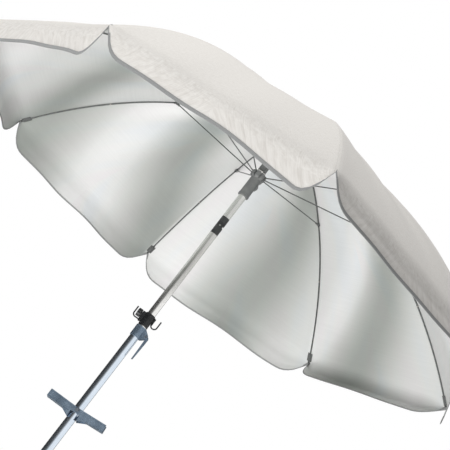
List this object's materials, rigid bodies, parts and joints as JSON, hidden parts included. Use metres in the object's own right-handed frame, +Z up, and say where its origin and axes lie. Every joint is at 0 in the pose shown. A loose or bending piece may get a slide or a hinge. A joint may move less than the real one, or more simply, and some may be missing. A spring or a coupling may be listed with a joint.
{
  "type": "tilting sun umbrella with silver lining",
  "caption": "Round sun umbrella with a silver-lined ribbed canopy and hanging flap, on a telescoping pole with a tilt joint, hook collar, clamp and folding foot wings.",
  "frame": {"origin": "the point of the ground tip, on the pole's axis", "axes": "+Z up along the pole, +X towards the side that the canopy tilts to and where the clamp lever hangs"},
  "size_m": [1.924, 1.924, 1.732],
  "materials": {
    "silver_pole": "polished tube",
    "blue_grey_casting": "satin paint",
    "black_plastic": "moulded",
    "dark_grey_plastic": "moulded",
    "runner_grey": "moulded",
    "zinc_steel": "zinc plated",
    "rib_steel": "grey coated wire",
    "hook_wire": "coated wire",
    "lined_fabric": "linen weave outside, silver coating inside"
  },
  "bodies": {
    "lower_pole": {"ground_tip": "black_plastic", "lower_tube": "silver_pole", "foot_bolt": "zinc_steel", "foot_nut": "zinc_steel", "foot_washers": "zinc_steel", "clamp_body": "blue_grey_casting", "clamp_pin": "zinc_steel", "clamp_shoe": "black_plastic"},
    "mast": {"mast_tube": "silver_pole", "mast_end_bush": "black_plastic", "knuckle_lower": "black_plastic", "tilt_pin": "zinc_steel"},
    "upper": {"knuckle_upper": "black_plastic", "upper_tube": "silver_pole", "crown_sleeve": "dark_grey_plastic", "crown_hub": "runner_grey", "crown_ring": "zinc_steel", "crown_cap": "runner_grey"},
    "runner": {"runner": "runner_grey"},
    "runner_latch": {"runner_latch": "runner_grey"},
    "clamp_lever": {"clamp_lever": "blue_grey_casting"},
    "foot_wing_right": {"foot_wing_right": "blue_grey_casting"},
    "foot_wing_left": {"foot_wing_left": "blue_grey_casting"},
    "hook_collar": {"hook_collar": "black_plastic", "hook_right": "hook_wire", "hook_left": "hook_wire"},
    "hook_knob": {"hook_knob": "black_plastic"},
    "rib_1": {"rib_rod_1": "rib_steel", "rib_fittings_1": "dark_grey_plastic", "canopy_panel_1": "lined_fabric"},
    "stretcher_1": {"stretcher_1": "rib_steel"},
    "rib_2": {"rib_rod_2": "rib_steel", "rib_fittings_2": "dark_grey_plastic", "canopy_panel_2": "lined_fabric"},
    "stretcher_2": {"stretcher_2": "rib_steel"},
    "rib_3": {"rib_rod_3": "rib_steel", "rib_fittings_3": "dark_grey_plastic", "canopy_panel_3": "lined_fabric"},
    "stretcher_3": {"stretcher_3": "rib_steel"},
    "rib_4": {"rib_rod_4": "rib_steel", "rib_fittings_4": "dark_grey_plastic", "canopy_panel_4": "lined_fabric"},
    "stretcher_4": {"stretcher_4": "rib_steel"},
    "rib_5": {"rib_rod_5": "rib_steel", "rib_fittings_5": "dark_grey_plastic", "canopy_panel_5": "lined_fabric"},
    "stretcher_5": {"stretcher_5": "rib_steel"},
    "rib_6": {"rib_rod_6": "rib_steel", "rib_fittings_6": "dark_grey_plastic", "canopy_panel_6": "lined_fabric"},
    "stretcher_6": {"stretcher_6": "rib_steel"},
    "rib_7": {"rib_rod_7": "rib_steel", "rib_fittings_7": "dark_grey_plastic", "canopy_panel_7": "lined_fabric"},
    "stretcher_7": {"stretcher_7": "rib_steel"},
    "rib_8": {"rib_rod_8": "rib_steel", "rib_fittings_8": "dark_grey_plastic", "canopy_panel_8": "lined_fabric"},
    "stretcher_8": {"stretcher_8": "rib_steel"}
  },
  "joints": [
    {"name": "mast_height", "type": "slide", "parent": "lower_pole", "child": "mast", "axis": [0, 0, 1], "range_m": [0, 0.25]},
    {"name": "tilt", "type": "hinge", "parent": "mast", "child": "upper", "pos_m": [0, 0, 1.248], "axis": [0, 1, 0], "range_deg": [0, 35]},
    {"name": "runner_slide", "type": "slide", "parent": "upper", "child": "runner", "axis": [0, 0, 1], "range_m": [-0.50676, 0]},
    {"name": "latch_press", "type": "slide", "parent": "runner", "child": "runner_latch", "axis": [-1, 0, 0], "range_m": [0, 0.0016], "stiffness_N_per_m": 400},
    {"name": "clamp_lever_turn", "type": "hinge", "parent": "lower_pole", "child": "clamp_lever", "pos_m": [0.031, 0, 0.8], "axis": [0, -1, 0], "range_deg": [0, 95]},
    {"name": "right_wing_fold", "type": "hinge", "parent": "lower_pole", "child": "foot_wing_right", "pos_m": [0, 0, 0.48], "axis": [0, -1, 0], "range_deg": [0, 85]},
    {"name": "left_wing_fold", "type": "hinge", "parent": "lower_pole", "child": "foot_wing_left", "pos_m": [0, 0, 0.48], "axis": [0, 1, 0], "range_deg": [0, 90]},
    {"name": "collar_turn", "type": "hinge", "parent": "mast", "child": "hook_collar", "pos_m": [0, 0, 0.847], "axis": [0, 0, 1], "continuous": true},
    {"name": "knob_spin", "type": "hinge", "parent": "hook_collar", "child": "hook_knob", "pos_m": [-0.035, 0, 0.855], "axis": [1, 0, 0], "continuous": true},
    {"name": "rib_1_fold", "type": "hinge", "parent": "upper", "child": "rib_1", "pos_m": [0.02869, 0.00877, 1.686], "axis": [-0.2924, 0.9563, 0], "range_deg": [-0.5, 40], "deforming": ["canopy_panel_1"]},
    {"name": "stretcher_1_fold", "type": "hinge", "parent": "rib_1", "child": "stretcher_1", "pos_m": [0.45539, 0.13923, 1.5935], "axis": [-0.2924, 0.9563, 0], "range_deg": [-76.5, 0.5]},
    {"name": "rib_2_fold", "type": "hinge", "parent": "upper", "child": "rib_2", "pos_m": [0.01408, 0.02649, 1.686], "axis": [-0.8829, 0.4695, 0], "range_deg": [-0.5, 40], "deforming": ["canopy_panel_2"]},
    {"name": "stretcher_2_fold", "type": "hinge", "parent": "rib_2", "child": "stretcher_2", "pos_m": [0.22356, 0.42046, 1.5935], "axis": [-0.8829, 0.4695, 0], "range_deg": [-76.5, 0.5]},
    {"name": "rib_3_fold", "type": "hinge", "parent": "upper", "child": "rib_3", "pos_m": [-0.00877, 0.02869, 1.686], "axis": [-0.9563, -0.2924, 0], "range_deg": [-0.5, 40], "deforming": ["canopy_panel_3"]},
    {"name": "stretcher_3_fold", "type": "hinge", "parent": "rib_3", "child": "stretcher_3", "pos_m": [-0.13923, 0.45539, 1.5935], "axis": [-0.9563, -0.2924, 0], "range_deg": [-76.5, 0.5]},
    {"name": "rib_4_fold", "type": "hinge", "parent": "upper", "child": "rib_4", "pos_m": [-0.02649, 0.01408, 1.686], "axis": [-0.4695, -0.8829, 0], "range_deg": [-0.5, 40], "deforming": ["canopy_panel_4"]},
    {"name": "stretcher_4_fold", "type": "hinge", "parent": "rib_4", "child": "stretcher_4", "pos_m": [-0.42046, 0.22356, 1.5935], "axis": [-0.4695, -0.8829, 0], "range_deg": [-76.5, 0.5]},
    {"name": "rib_5_fold", "type": "hinge", "parent": "upper", "child": "rib_5", "pos_m": [-0.02869, -0.00877, 1.686], "axis": [0.2924, -0.9563, 0], "range_deg": [-0.5, 40], "deforming": ["canopy_panel_5"]},
    {"name": "stretcher_5_fold", "type": "hinge", "parent": "rib_5", "child": "stretcher_5", "pos_m": [-0.45539, -0.13923, 1.5935], "axis": [0.2924, -0.9563, 0], "range_deg": [-76.5, 0.5]},
    {"name": "rib_6_fold", "type": "hinge", "parent": "upper", "child": "rib_6", "pos_m": [-0.01408, -0.02649, 1.686], "axis": [0.8829, -0.4695, 0], "range_deg": [-0.5, 40], "deforming": ["canopy_panel_6"]},
    {"name": "stretcher_6_fold", "type": "hinge", "parent": "rib_6", "child": "stretcher_6", "pos_m": [-0.22356, -0.42046, 1.5935], "axis": [0.8829, -0.4695, 0], "range_deg": [-76.5, 0.5]},
    {"name": "rib_7_fold", "type": "hinge", "parent": "upper", "child": "rib_7", "pos_m": [0.00877, -0.02869, 1.686], "axis": [0.9563, 0.2924, 0], "range_deg": [-0.5, 40], "deforming": ["canopy_panel_7"]},
    {"name": "stretcher_7_fold", "type": "hinge", "parent": "rib_7", "child": "stretcher_7", "pos_m": [0.13923, -0.45539, 1.5935], "axis": [0.9563, 0.2924, 0], "range_deg": [-76.5, 0.5]},
    {"name": "rib_8_fold", "type": "hinge", "parent": "upper", "child": "rib_8", "pos_m": [0.02649, -0.01408, 1.686], "axis": [0.4695, 0.8829, 0], "range_deg": [-0.5, 40], "deforming": ["canopy_panel_8"]},
    {"name": "stretcher_8_fold", "type": "hinge", "parent": "rib_8", "child": "stretcher_8", "pos_m": [0.42046, -0.22356, 1.5935], "axis": [0.4695, 0.8829, 0], "range_deg": [-76.5, 0.5]}
  ],
  "couplings": [
    {"joint": "rib_1_fold", "follows": "runner_slide", "rad_per_m": -1.3604},
    {"joint": "stretcher_1_fold", "follows": "runner_slide", "rad_per_m": 2.6088},
    {"joint": "rib_2_fold", "follows": "runner_slide", "rad_per_m": -1.3604},
    {"joint": "stretcher_2_fold", "follows": "runner_slide", "rad_per_m": 2.6088},
    {"joint": "rib_3_fold", "follows": "runner_slide", "rad_per_m": -1.3604},
    {"joint": "stretcher_3_fold", "follows": "runner_slide", "rad_per_m": 2.6088},
    {"joint": "rib_4_fold", "follows": "runner_slide", "rad_per_m": -1.3604},
    {"joint": "stretcher_4_fold", "follows": "runner_slide", "rad_per_m": 2.6088},
    {"joint": "rib_5_fold", "follows": "runner_slide", "rad_per_m": -1.3604},
    {"joint": "stretcher_5_fold", "follows": "runner_slide", "rad_per_m": 2.6088},
    {"joint": "rib_6_fold", "follows": "runner_slide", "rad_per_m": -1.3604},
    {"joint": "stretcher_6_fold", "follows": "runner_slide", "rad_per_m": 2.6088},
    {"joint": "rib_7_fold", "follows": "runner_slide", "rad_per_m": -1.3604},
    {"joint": "stretcher_7_fold", "follows": "runner_slide", "rad_per_m": 2.6088},
    {"joint": "rib_8_fold", "follows": "runner_slide", "rad_per_m": -1.3604},
    {"joint": "stretcher_8_fold", "follows": "runner_slide", "rad_per_m": 2.6088}
  ]
}
